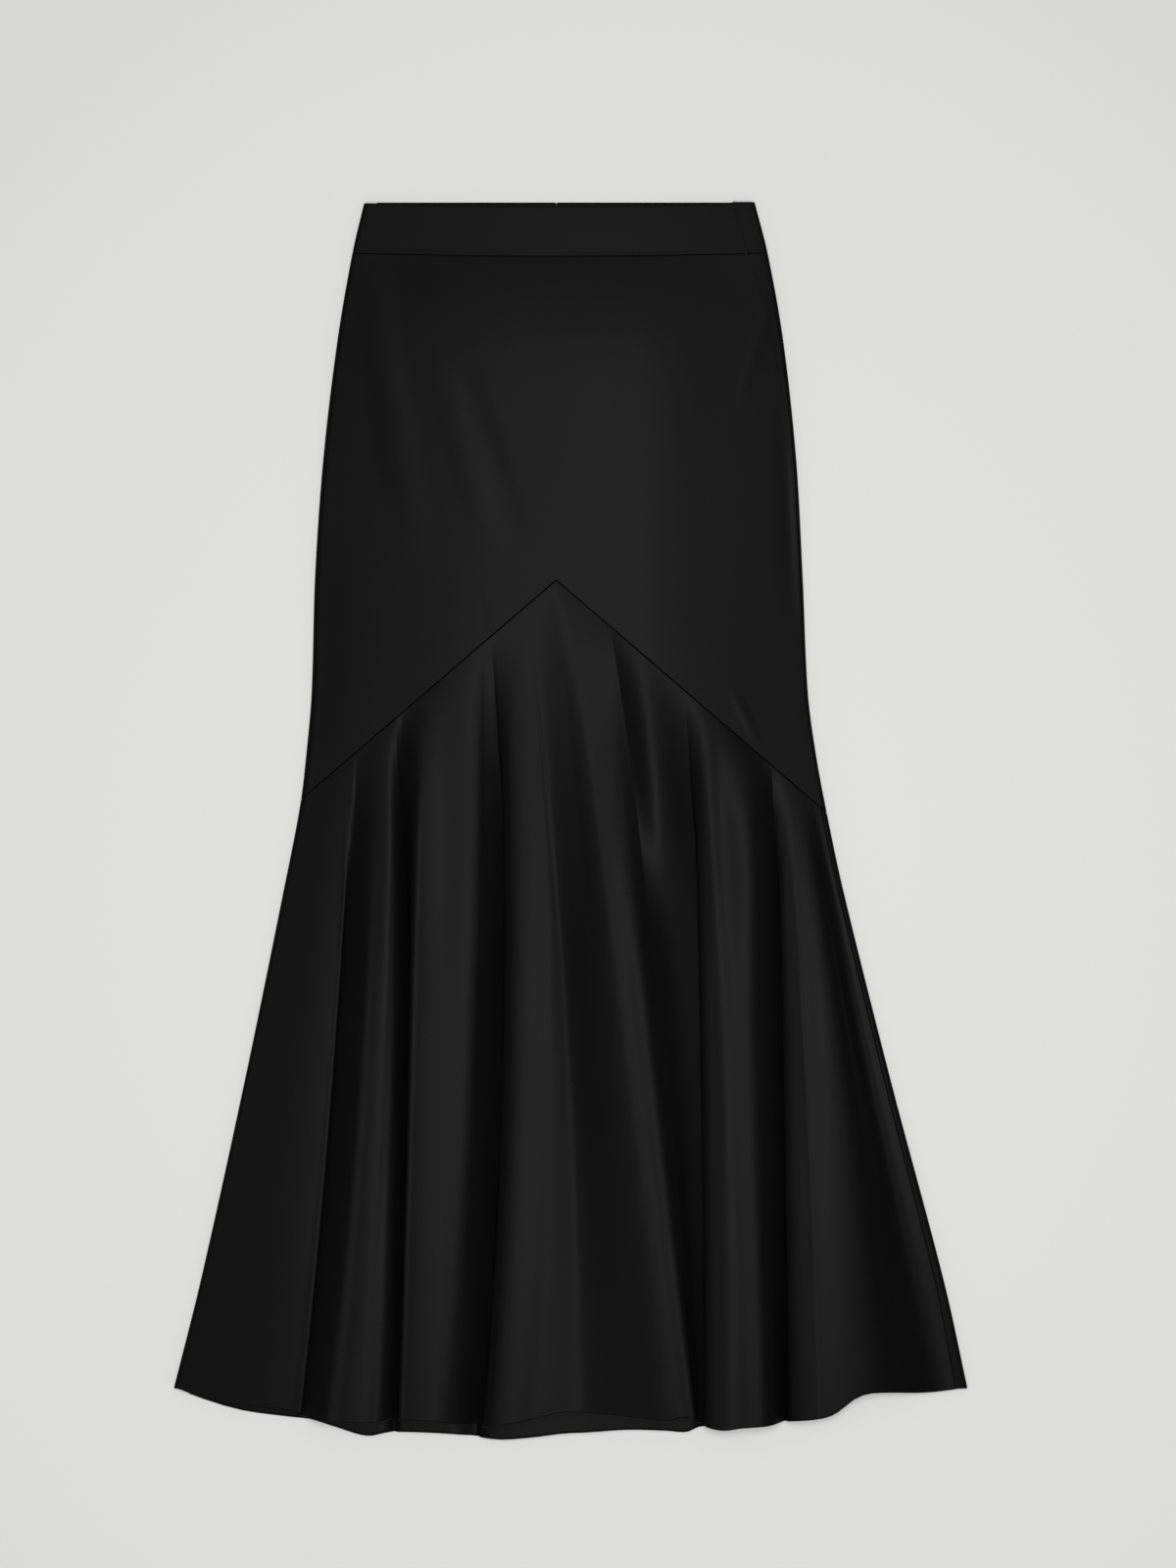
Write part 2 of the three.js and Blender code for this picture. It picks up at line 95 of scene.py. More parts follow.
colour = add_node(
    tree,
    "ShaderNodeMix",
    {"Factor": patches.outputs["Fac"], "A": linear(CREPE_DEEP), "B": linear(CREPE_WORN)},
    data_type="RGBA",
)
rough = add_node(
    tree, "ShaderNodeMapRange", {"Value": pebbles.outputs["Fac"], "To Min": 0.42, "To Max": 0.46}
)
bump = add_node(
    tree, "ShaderNodeBump", {"Height": grain.outputs["Result"], "Strength": 0.2, "Distance": 0.00025}
)
# The weak wide shine is that of the matt cloth, and the thin coat over it that of the yarns' smooth sides
surface = add_node(
    tree,
    "ShaderNodeBsdfPrincipled",
    {
        "Base Color": colour.outputs["Result"],
        "Roughness": rough.outputs["Result"],
        "IOR": 1.45,
        "Specular IOR Level": 0.047,
        "Coat Weight": 0.0105,
        "Coat Roughness": 0.22,
        "Coat Normal": bump.outputs["Normal"],
        "Normal": bump.outputs["Normal"],
    },
)
tree.links.new(surface.outputs["BSDF"], output.inputs["Surface"])

# ---- Fitted body, front ------------------------------------------------------------------------------------
# One piece of crepe from the waist seam to the pointed seam, cut to follow the hips. It is sewn to the back
# at the sides: its seam is rolled under along one side and shows on top along the other. Its lower edge comes
# to a point.
CLOTH = 1.0  # thickness of the single cloth
CENTRE_X = -12.0  # centre front and centre back line
APEX_Y, POINT_SLOPE = 203.0, 0.857  # top of the pointed seam, and its fall for each millimetre to either side
WAIST_SEAM, FRONT_DIP = 480.0, 2.6  # height y of the waist seam, and its sag in the middle of the front
WAIST_BOW = 340.0  # length of the half wave in which the front sags
ROLL_UNDER = 8.0  # how far the front is rolled under along the wearer's right side
LIP = 0.7  # radius to which a sewn edge turns down into its seam
SIDE_LIP = 0.12  # the same for the pressed side seams of the body and the waistband
MILLIMETRE = 0.001  # in Blender's metres
EDGE_FADE = 8.0  # width along the side edges over which the creases fade out
ROUNDS = 14  # rounds in which the height y of a slanting cut and the x where it is met settle together
TURN_ANGLES = np.radians([22, 45, 68, 90])  # steps of the quarter circle at a turned edge

# y, left edge, right edge, how far the back shows on top, thickness at the edges
OUTLINE = np.array(
    [
        (-480, -335.5, 336, 7, 6),
        (-390, -313, 316.2, 4.5, 6),
        (-224, -276.4, 272.2, 2.6, 6),
        (-58, -242.4, 230.7, 1.4, 6),
        (14, -228.5, 215.5, 1.2, 6),
        (58, -223.3, 207.5, 1.2, 6),
        (108, -219, 201, 1.2, 6),
        (208, -216, 196.5, 1.3, 6),
        (307, -209, 191, 2, 6),
        (407, -197, 180, 6, 6),
        (480, -184.5, 167, 14, 5.4),
        (523, -174.5, 156, 16, 5.2),
    ],
    dtype=[("y", float), ("left", float), ("right", float), ("roll", float), ("height", float)],
)
# The low dome of the laid hips: how high it is in the middle at each y, and its section as shares of that
# height from the left edge, -1, to the right edge, 1
HIP_RISE = np.array(
    [
        (-10, 3.7),
        (60, 5.2),
        (130, 5.9),
        (190, 5.2),
        (260, 4.4),
        (330, 4.0),
        (400, 3.8),
        (440, 2.7),
        (480, 0.9),
    ],
    dtype=[("y", float), ("height", float)],
)
HIP_SECTION = np.array(
    [
        (-1, 0),
        (-0.85, 0.36),
        (-0.7, 0.64),
        (-0.5, 0.91),
        (-0.3, 0.99),
        (0, 1),
        (0.2, 1.01),
        (0.35, 1.08),
        (0.5, 0.96),
        (0.7, 0.6),
        (0.85, 0.3),
        (1, 0),
    ],
    dtype=[("across", float), ("share", float)],
)
# Soft creases of the smoothed hips: from x, y to x, y, half width and height
HIP_CREASES = np.array(
    [
        (-176, 492, -128, 214, 23, 0.63),
        (-118, 402, -66, 219, 17, 0.31),
        (-92, 389, -42, 231, 17, -0.38),
        (173, 446, 141, 348, 9.5, 0.23),
        (188, 368, 194, 155, 21, -0.65),
        (-77.5, 199, -72, 150, 5.5, -0.08),
        (136, 112, 160, 62, 7, 0.35),
    ],
    dtype=[(name, float) for name in ("x0", "y0", "x1", "y1", "width", "height")],
)
RIPPLE_HEIGHT = 0.15
RIPPLE_SEED = 3
FULL_TURN = 6.28  # radians


def smooth(k):
    """Ease from 0 to 1: 3k squared minus 2k cubed."""
    return k * k * (3 - 2 * k)


def curve_through(at, value, place):
    """Cubic through the rows of a table. The tangent at a row is the slope between its neighbours."""
    row = np.arange(len(at))
    before, after = np.maximum(row - 1, 0), np.minimum(row + 1, len(at) - 1)
    slope = (value[after] - value[before]) / (at[after] - at[before])
    i = np.clip(np.searchsorted(at, place) - 1, 0, len(at) - 2)
    span = at[i + 1] - at[i]
    k = (place - at[i]) / span
    bent = slope[i] * span * k * (1 - k) ** 2 - slope[i + 1] * span * k * k * (1 - k)
    return value[i] * (1 - smooth(k)) + value[i + 1] * smooth(k) + bent


def outline(column, y):
    """A column of the outline at the height y, on the cubic through the column's rows."""
    return curve_through(OUTLINE["y"], OUTLINE[column], y)


def ripple(x, y, waves=6, shortest=60, longest=200, swing=0.5, stretch=0.6):
    """Slight unevenness of hand-smoothed cloth: the mean of a few crossed sine waves, whose lengths and small
    turns are drawn at random, and which are stretched along y."""
    rng = np.random.default_rng(RIPPLE_SEED)
    total = 0
    for _ in range(waves):
        length = rng.uniform(shortest, longest)
        turn = rng.uniform(-swing, swing)
        phase = rng.uniform(0, FULL_TURN)
        total = total + np.sin(FULL_TURN * (x * np.cos(turn) + y * np.sin(turn) * stretch) / length + phase)
    return total / waves


def hip_relief(x, y):
    """The ripple and the sum of the creases, each a cosine squared across its width and a half sine along its
    length."""
    total = RIPPLE_HEIGHT * ripple(x, y)
    for crease in HIP_CREASES:
        dx, dy = crease["x1"] - crease["x0"], crease["y1"] - crease["y0"]
        from_x, from_y = x - crease["x0"], y - crease["y0"]
        length = np.hypot(dx, dy)
        along = np.clip((from_x * dx + from_y * dy) / length**2, 0, 1)
        across = np.clip((from_x * dy - from_y * dx) / length / crease["width"], -1, 1)
        total = total + crease["height"] * np.sin(np.pi * along) * np.cos(np.pi / 2 * across) ** 2
    return total


def hip_dome(x, y):
    """Height of the dome: its height in the middle at y times the share that its section has at x."""
    left, right = outline("left", y), outline("right", y)
    across = np.clip((2 * x - left - right) / (right - left), -1, 1)
    level = HIP_RISE["y"]
    middle = curve_through(level, HIP_RISE["height"], np.clip(y, level[0], level[-1]))
    return middle * curve_through(HIP_SECTION["across"], HIP_SECTION["share"], across)


def edges(y):
    """Half the edge's height as the tube's edge radius, the left end of its level run, that run's width, and
    the length of an edge turn, which is pi times the radius."""
    radius = outline("height", y) / 2
    left = outline("left", y) + radius
    return radius, left, outline("right", y) - radius - left, np.pi * radius


def tube(y, d):
    """Point of the tube's outer face at height y and loop distance d: on top from 0 to the width, half a
    circle round either edge, and level underneath beyond it. The dome and the creases are added on top."""
    radius, left, width, turn = edges(y)
    past = np.where(d < 0, -d, d - width)
    angle = np.clip(past / radius, 0, np.pi)
    out = radius * np.sin(angle) - np.maximum(0, past - turn)
    top = (d >= 0) & (d <= width)
    x = np.where(top, left + d, np.where(d < 0, left - out, left + width + out))
    fade = smooth(np.clip(np.minimum(d, width - d) / EDGE_FADE, 0, 1))
    raised = hip_dome(x, y) + hip_relief(x, y) * fade
    z = np.where(top, 2 * radius + raised, radius * (1 + np.cos(angle)))
    return np.stack([x, y + 0 * x, z], axis=-1)


def panel(breaks, across, top, bottom, down):
    """Grid on the tube. Its columns run through the loop distances breaks(y), with across counting the breaks,
    and its rows from the curve top(x) to bottom(x) at the shares down."""

    def distance(y):
        marks = np.stack([b + 0 * y for b in breaks(y)])
        i = np.clip(across.astype(int), 0, len(marks) - 2)
        column = np.arange(len(across))
        if y.ndim == 2:
            low, high = marks[i, :, column].T, marks[i + 1, :, column].T
        else:
            low, high = marks[i, column], marks[i + 1, column]
        return low + (high - low) * (across - i)

    ends = []
    for curve in (top, bottom):
        y = np.full(len(across), curve(CENTRE_X))
        for _ in range(ROUNDS):
            y = curve(tube(y, distance(y))[..., 0])
        ends.append(y)
    y = ends[0] + (ends[1] - ends[0]) * down[:, None]
    return tube(y, distance(y))


def normals(grid):
    """Unit normals of a grid: its downward differences crossed with its sideways ones."""
    n = np.cross(np.gradient(grid, axis=0), np.gradient(grid, axis=1))
    return n / np.linalg.norm(n, axis=-1, keepdims=True)


def turn_edge(grid, edge, radius, drop, allowance=0.0):
    """Adds a lip along one edge: a row just inside it that keeps the face level, a quarter circle out and
    down, then straight down, and at last the seam allowance straight out under the next piece."""
    n = normals(grid)
    if edge in ("left", "right"):
        grid, n = grid.transpose(1, 0, 2), n.transpose(1, 0, 2)
    first = edge in ("top", "left")
    rim, inside, up = (grid[0], grid[1], n[0]) if first else (grid[-1], grid[-2], n[-1])
    out = rim - inside
    out = out - up * np.sum(out * up, axis=-1, keepdims=True)
    room = np.linalg.norm(out, axis=-1, keepdims=True)
    out = out / room
    stay = rim - out * np.minimum(radius, room / 2)
    turns = [rim + radius * (out * np.sin(a) - up * (1 - np.cos(a))) for a in TURN_ANGLES]
    turns.append(turns[-1] - up * drop)
    if allowance:
        turns.append(turns[-1] + out * allowance)
    turns = np.array(turns)
    if first:
        grid = np.concatenate([turns[::-1], rim[None], stay[None], grid[1:]])
    else:
        grid = np.concatenate([grid[:-1], stay[None], rim[None], turns])
    return grid.transpose(1, 0, 2) if edge in ("left", "right") else grid


def shell(name, grid, thickness=CLOTH, creased=()):
    """Closed wall of cloth: the grid is its outer face and the inner one lies a thickness in along the
    normals, and nothing goes below the floor. It is shaded with a crease down each creased column. The cloth
    attribute holds the distances across and down the cloth, in metres."""
    rows, cols = grid.shape[:2]
    under = grid - thickness * normals(grid)
    points = np.concatenate([grid.reshape(-1, 3), under.reshape(-1, 3)]) * MILLIMETRE
    points[:, 2] = np.maximum(points[:, 2], 0)
    outer = np.arange(rows * cols).reshape(rows, cols)
    inner = outer + rows * cols

    def strip(a, b, c, d):
        """Quads from four equal arrays of corners."""
        return np.stack([a, b, c, d], axis=-1).reshape(-1, 4)

    quads = np.concatenate(
        [
            strip(outer[:-1, :-1], outer[1:, :-1], outer[1:, 1:], outer[:-1, 1:]),
            strip(inner[:-1, :-1], inner[:-1, 1:], inner[1:, 1:], inner[1:, :-1]),
            strip(outer[0, :-1], outer[0, 1:], inner[0, 1:], inner[0, :-1]),
            strip(outer[-1, 1:], outer[-1, :-1], inner[-1, :-1], inner[-1, 1:]),
            strip(outer[1:, 0], outer[:-1, 0], inner[:-1, 0], inner[1:, 0]),
            strip(outer[:-1, -1], outer[1:, -1], inner[1:, -1], inner[:-1, -1]),
        ]
    )
    mesh = bpy.data.meshes.new(name)
    mesh.from_pydata(points, [], quads.tolist())
    mesh.polygons.foreach_set("use_smooth", np.ones(len(quads), dtype=bool))
    ends = np.zeros(2 * len(mesh.edges), dtype=int)
    mesh.edges.foreach_get("vertices", ends)
    column = ends.reshape(-1, 2) % cols
    crease = (column[:, 0] == column[:, 1]) & np.isin(column[:, 0], creased)
    mesh.attributes.new("sharp_edge", "BOOLEAN", "EDGE").data.foreach_set("value", crease)
    sideways = np.linalg.norm(np.diff(grid, axis=1, prepend=grid[:, :1]), axis=-1).cumsum(axis=1)
    downwards = np.linalg.norm(np.diff(grid, axis=0, prepend=grid[:1]), axis=-1).cumsum(axis=0)
    sideways = sideways - sideways[:, cols // 2 : cols // 2 + 1]
    place = np.stack([sideways, downwards, 0 * downwards], axis=-1) * MILLIMETRE
    layer = mesh.attributes.new("cloth", "FLOAT_VECTOR", "POINT")
    layer.data.foreach_set("vector", np.concatenate([place, place]).ravel())
    piece = bpy.data.objects.new(name, mesh)
    bpy.context.scene.collection.objects.link(piece)
    return piece


def dress(piece, material, slot, *nodes):
    """Gives a piece its material, puts it on the one body and hides the solids it stands for. The slot is not
    used.
    """
    piece.data.materials.append(material)
    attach(piece, "root")
    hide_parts(*nodes)


def pointed_seam(x):
    """The seam falls in a straight line to either side of its apex."""
    return APEX_Y - POINT_SLOPE * np.abs(x - CENTRE_X)


def waist_hump(x):
    """1 at the centre and 0 half a bow to either side and beyond: half a cosine wave."""
    return np.cos(np.clip((x - CENTRE_X) / WAIST_BOW, -0.5, 0.5) * np.pi)


def front_waist_seam(x):
    """The seam's height less the sag, which is the hump upside down."""
    return WAIST_SEAM - FRONT_DIP * waist_hump(x)


POINT_RISE = LIP * np.hypot(1, POINT_SLOPE)  # room for the lip, straight up from the slanting seam


def front_breaks(y, lip=SIDE_LIP):
    """Loop distances of the front: side seam underneath, edge turn, left edge, centre and the seam on top."""
    _, left, width, turn = edges(y)
    return [
        -turn - ROLL_UNDER + lip,
        -turn,
        0 * y,
        CENTRE_X - left,
        width - outline("roll", y) - lip,
    ]


def spread(*counts):
    """Column places: each stretch between two breaks is divided into its own number of equal steps."""
    runs = [i + np.arange(n) / n for i, n in enumerate(counts)]
    return np.concatenate([*runs, [len(counts)]]).astype(float)


BODY_FRONT_ROWS = 140
grid = panel(
    front_breaks,
    spread(3, 12, 80, 80),
    lambda x: front_waist_seam(x) - LIP,
    lambda x: pointed_seam(x) + POINT_RISE,
    np.linspace(0, 1, BODY_FRONT_ROWS),
)
for edge in ("left", "right"):
    grid = turn_edge(grid, edge, SIDE_LIP, drop=0.8)
for edge in ("top", "bottom"):
    grid = turn_edge(grid, edge, LIP, drop=2.4, allowance=2.5)
body_front = shell("body_front", grid)
dress(body_front, crepe, "crepe", "skirt_front")

# ---- Fitted body, back -------------------------------------------------------------------------------------
# Two pieces of the same crepe that meet in the centre back seam, where the upper part is open for the zip.
# They lie face down, and the one on the wearer's left comes round the edge on to the top.
ZIP_END, ZIP_HALF = 330.0, 1.0  # height y of the zip's foot, and half the gap that shows it
ZIP_RAMP = 8.0  # length below the zip's foot over which the gap opens


def opening(y):
    """Half width of the gap in the centre back: the lip's alone low down, and the zip's added higher up."""
    return LIP + ZIP_HALF * smooth(np.clip((y - ZIP_END + ZIP_RAMP) / ZIP_RAMP, 0, 1))


def centre_back(y):
    """Loop distance of the centre back line: over the top, round the edge and back to the centre."""
    _, left, width, turn = edges(y)
    return width + turn + (left + width) - CENTRE_X


def back_left_breaks(y, lip=SIDE_LIP):
    """Loop distances of the back's left half: seam on top, right edge, end of its turn and centre back."""
    _, _, width, turn = edges(y)
    return [width - outline("roll", y) + lip, width, width + turn, centre_back(y) - opening(y)]


def back_right_breaks(y):
    """Loop distances of the back's right half: centre back and the side seam underneath."""
    _, _, width, turn = edges(y)
    return [centre_back(y) + opening(y), 2 * width + turn - ROLL_UNDER - SIDE_LIP]


BODY_BACK_ROWS = 90
BACK_HALVES = {
    "left": {
        "breaks": back_left_breaks,
        "across": spread(4, 12, 60),
        "sewn_side": "left",
        "flat": (0.243, 0.476),
        "area": 0.0795,
    },
    "right": {
        "breaks": back_right_breaks,
        "across": spread(60),
        "sewn_side": "right",
        "flat": (0.206, 0.455),
        "area": 0.0675,
    },
}
for half, cut in BACK_HALVES.items():
    grid = panel(
        cut["breaks"],
        cut["across"],
        lambda x: WAIST_SEAM - LIP + 0 * x,
        lambda x: pointed_seam(x) + POINT_RISE,
        np.linspace(0, 1, BODY_BACK_ROWS),
    )
    for edge in ("left", "right", "top", "bottom"):
        grid = turn_edge(grid, edge, SIDE_LIP if edge == cut["sewn_side"] else LIP, drop=0.5)
    piece = shell(f"body_back_{half}", grid)
    dress(piece, crepe, "crepe", f"skirt_back_{half}")

# ---- Waistband ---------------------------------------------------------------------------------------------
# A contoured band of crepe, doubled over fusible interfacing, with its fold at the top. It is sewn to the body
# all round, and like the body it is in one piece in front and two behind.
BAND = 1.8  # thickness of the doubled band
WAIST_TOP, BACK_RISE = 522.5, 0.8  # height y of the fold, and how far it stands higher behind
BAND_LIP = 0.9  # radius of the fold


def front_waist(x):
    """The fold's height less the sag, which is the hump upside down."""
    return WAIST_TOP - FRONT_DIP * waist_hump(x)


def back_waist(x):
    """The same height all the way across."""
    return WAIST_TOP + BACK_RISE + 0 * x


def back_waist_seam(x):
    """The same height all the way across."""
    return WAIST_SEAM + 0 * x


BAND_ROWS = 24
BANDS = {
    "front": {
        "breaks": front_breaks,
        "across": spread(3, 12, 70, 70),
        "fold": front_waist,
        "seam": front_waist_seam,
        "centre_edge": None,
        "flat": (0.352, 0.0445),
        "area": 0.0150,
        "rests_on": "band_back_left",
    },
    "back_left": {
        "breaks": back_left_breaks,
        "across": spread(8, 12, 50),
        "fold": back_waist,
        "seam": back_waist_seam,
        "centre_edge": "right",
        "flat": (0.199, 0.0450),
        "area": 0.0088,
        "rests_on": "floor",
    },
    "back_right": {
        "breaks": back_right_breaks,
        "across": spread(50),
        "fold": back_waist,
        "seam": back_waist_seam,
        "centre_edge": "left",
        "flat": (0.166, 0.0445),
        "area": 0.0071,
        "rests_on": "floor",
    },
}
for part, cut in BANDS.items():
    grid = panel(
        cut["breaks"],
        cut["across"],
        lambda x: cut["fold"](x) - BAND_LIP,
        lambda x: cut["seam"](x) + LIP,
        np.linspace(0, 1, BAND_ROWS),
    )
    grid = turn_edge(grid, "top", BAND_LIP, drop=0.1)
    for edge in ("left", "right", "bottom"):
        grid = turn_edge(grid, edge, LIP if edge in ("bottom", cut["centre_edge"]) else SIDE_LIP, drop=0.6)
    piece = shell(f"band_{part}", grid, BAND)
    dress(piece, crepe, "crepe", f"waistband_{part}")

# ---- Flounce -----------------------------------------------------------------------------------------------
# Two deep flared pieces of crepe, front and back, sewn into the pointed seam. The flare falls into soft folds
# that start flat at the seam and deepen to the hem, and a narrow hem is turned up along the lower edge.
HEM_TIP = -480.0  # height y of the hem at the two side edges
HEM_LIP = 0.9  # radius of the turned hem
VALLEY = 3.2  # least height of the front, where it lies on the back
FOLD_GROWTH = 5.5  # how quickly the folds rise below the seam
NEST, NEST_FROM, NEST_RAMP = 0.22, 7.0, 10.0  # the back's rise as a share of the front fold above a height
TUCK_SHARE, TUCK_LAG = 0.35, 0.25  # share of the way down over which a tuck deepens, and its late start
SOFT_WIDTH, SOFT_SHARE = 7.0, 0.25  # width of the softening at the seam, and the share where it ends

# Lines of the folds from left to right: x on the seam, x on the hem, sideways bow, height of the cloth just
# below the seam once the fold is full, its lower height, the share of the way down from which it has that, and
# where the cloth turns sharply how far that turn is tucked in under the fold beside it
FOLDS = np.array(
    [
        (-212, -319, 1, 7, 6.5, 0.46, 0),  # panel beside the side edge
        (-200, -263, 5.6, 9, 8.5, 0.46, 0),
        (-188, -236.5, 5.7, 9.5, 8.5, 0.46, 0),
        (-184.5, -227, 5, 10, 8, 0.46, 0),
        (-180.5, -223.5, 6.2, 8.5, 4.2, 0.46, -7),
        (-169, -211, 9.2, 13, 21, 0.46, 0),  # ridge 1
        (-160.5, -193.5, 7.8, 14, 22.5, 0.46, 0),
        (-149, -172.5, 6.1, 13, 22, 0.46, 0),
        (-146, -155.5, 4.5, 8.5, 19.5, 0.46, 0),
        (-142.5, -148.5, 3.7, 3.5, 4.2, 0.46, 6),
        (-130, -144.5, 1.4, 16.5, 21.5, 0.46, 0),  # ridge 2
        (-119.5, -138.5, -0.1, 17, 22.5, 0.46, 0),
        (-107, -112.5, 4, 15, 22.5, 0.46, 0),
        (-79.5, -102, 9.1, 12, 21, 0.46, 0),
        (-73, -92.5, 8, 9.5, 18, 0.46, 0),
        (-67, -76.5, 15, 8.5, 4.2, 0.46, 6),
        (-61, -73, 11, 11, 25, 0.46, 0),  # ridge 3
        (-40.5, -39, 19.8, 12, 28.5, 0.46, 0),
        (-37.5, 1, 12, 11.5, 27.5, 0.46, 0),
        (-33.5, 13.5, 8.4, 11.5, 27, 0.46, 0),
        (-12, 56, 0, 7.5, 21, 0.46, 0),  # hollow between ridges 3 and 4
        (-4, 79.5, 0.8, 6.5, 18, 0.46, 0),  # ridge 4
        (4, 92, 0.4, 6.5, 17.5, 0.46, 0),
        (28, 106, -1, 5.5, 17.5, 0.46, 0),
        (34, 108, 8, 4.5, 13.5, 0.46, -2),
        (59, 109.5, 5.7, 15.5, 8.5, 0.38, 0),  # short ridge
        (97, 111, 6, 4, 4.2, 0.46, 6),
        (103, 113, 2, 8, 18, 0.46, 0),  # ridge 5
        (111, 127, 5.1, 14, 22.5, 0.46, 0),
        (122, 149.5, 2.5, 15, 23.5, 0.46, 0),
        (156.5, 168.5, -0.2, 21, 22, 0.46, 0),
        (170, 173.5, 5.7, 3.5, 4.2, 0.46, 8),
        (175.5, 185, -1, 6, 14, 0.46, 0),  # ridge 6
        (181, 206.5, 2.9, 9.5, 19, 0.46, 0),
        (187.5, 215, 1, 11, 19.5, 0.46, 0),
        (195.5, 260, 9, 10.5, 19, 0.46, 0),
        (201, 306, -1.5, 8.5, 6.5, 0.46, 0),
        (204.5, 314.5, 0, 6, 5.5, 0.46, 0),  # roll beside the seam
    ],
    dtype=[(name, float) for name in ("seam", "hem", "bow", "upper", "lower", "share", "tuck")],
)
# The hems: x, and the height y of the front one and of the back one
HEMS = np.array(
    [
        (-335, -479, -480),
        (-309, -488, -490),
        (-278, -495, -499),
        (-242, -497.5, -504),
        (-217, -503.5, -507),
        (-200, -505.5, -512),
        (-172, -506.5, -520),
        (-153, -504.5, -517),
        (-118, -505, -517.5),
        (-85, -509, -520),
        (-60, -507.5, -523),
        (-35, -503, -521.5),
        (-6, -496.5, -518),
        (15, -497, -517),
        (48, -501, -515),
        (81, -505.5, -516),
        (98, -502.5, -517),
        (108, -508, -513),
        (127, -512.5, -511),
        (144, -510.5, -509.5),
        (164, -509, -507),
        (178, -507, -505),
        (206, -504, -503),
        (222, -499.5, -499),
        (241, -485.5, -487),
        (257, -481.5, -483),
        (305, -483, -483),
        (336, -479, -480),
    ],
    dtype=[("x", float), ("front", float), ("back", float)],
)


def growth(t):
    """How far a fold has risen at share t of the way down: 1 minus (1 - t) to the power of the growth."""
    return 1 - (1 - t) ** FOLD_GROWTH


def flounce_edge(y, side, layer):
    """x of a layer's side edge: on each side one layer reaches the edge and the other stops at the seam."""
    _, left, width, _ = edges(y)
    if layer == "front":
        return left if side == "left" else left + width - outline("roll", y) - LIP
    return left + ROLL_UNDER + LIP if side == "left" else left + width


def section_points(t, layer, tucked=False):
    """x and z of the section's own points at the shares t: both side edges, and the fold lines between them.
    A line runs straight from seam to hem, plus its bow times 4t(1 - t). Its height starts as the body's own at
    the seam and grows to the upper height, which eases into the lower one."""
    t = t[:, None]
    full = FOLDS["upper"] + (FOLDS["lower"] - FOLDS["upper"]) * smooth(np.minimum(1, t / FOLDS["share"]))
    start_y = pointed_seam(FOLDS["seam"])
    start = tube(start_y, FOLDS["seam"] - edges(start_y)[1])[:, 2]
    x = FOLDS["seam"] + (FOLDS["hem"] - FOLDS["seam"]) * t + FOLDS["bow"] * 4 * t * (1 - t)
    if tucked:
        x = x + FOLDS["tuck"] * smooth(np.clip(t / TUCK_SHARE - TUCK_LAG, 0, 1))
    z = start + (full - start) * growth(t)
    ends = []
    for side in ("left", "right"):
        y = np.zeros(1)
        for _ in range(ROUNDS):
            y = pointed_seam(flounce_edge(y, side, layer)) - POINT_RISE
        y = y + (HEM_TIP - y) * t
        ends.append((flounce_edge(y, side, layer), 2 * edges(y)[0]))
    return np.hstack([ends[0][0], x, ends[1][0]]), np.hstack([ends[0][1], z, ends[1][1]])


def spline(x, z, steps):
    """Centripetal Catmull-Rom curve through the points of each row: knots lie the square root of a distance
    apart, and each tangent blends the slopes to either side by those distances. A sharp point keeps the slope
    of each side."""
    points = np.stack([x, z], axis=-1)
    before = 2 * points[:, :1] - points[:, 1:2]
    after = 2 * points[:, -1:] - points[:, -2:-1]
    points = np.concatenate([before, points, after], axis=1)
    knot = np.sqrt(np.linalg.norm(np.diff(points, axis=1), axis=-1, keepdims=True))
    slope = np.diff(points, axis=1) / knot
    across = (points[:, 2:] - points[:, :-2]) / (knot[:, 1:] + knot[:, :-1])
    tangent = slope[:, :-1] - across + slope[:, 1:]
    sharp = np.concatenate([[False], FOLDS["tuck"] != 0, [False]])[:, None]
    reach = knot[:, 1:-1, None]
    leave = np.where(sharp, slope[:, 1:], tangent)[:, :-1, None] * reach
    arrive = np.where(sharp, slope[:, :-1], tangent)[:, 1:, None] * reach
    p, q = points[:, 1:-2, None], points[:, 2:-1, None]
    k = (np.arange(steps) / steps)[None, None, :, None]
    curve = p * (1 - smooth(k)) + q * smooth(k) + leave * k * (1 - k) ** 2 - arrive * k * k * (1 - k)
    curve = np.concatenate([curve.reshape(len(x), -1, 2), points[:, -2:-1]], axis=1)
    return curve[..., 0], curve[..., 1]


def soften(x, z, down, least_width=0.01, least_step=0.05):
    """Close to the seam the folds are still soft. There a height above the mean of the heights beside it,
    weighted with a bell curve of the distance, sinks to it. The curve is SOFT_WIDTH wide at the seam and has
    closed at SOFT_SHARE of the way down."""
    near = down < SOFT_SHARE
    width = (SOFT_WIDTH * (1 - smooth(down[near] / SOFT_SHARE)) + least_width)[:, None, None]
    step = np.maximum(np.gradient(x[near], axis=1), least_step)[:, None, :]
    weight = np.exp(-(((x[near][:, :, None] - x[near][:, None, :]) / width) ** 2)) * step
    mean = np.sum(weight * z[near][:, None, :], axis=2) / np.sum(weight, axis=2)
    soft = z.copy()
    soft[near] = np.minimum(z[near], mean)
    return soft


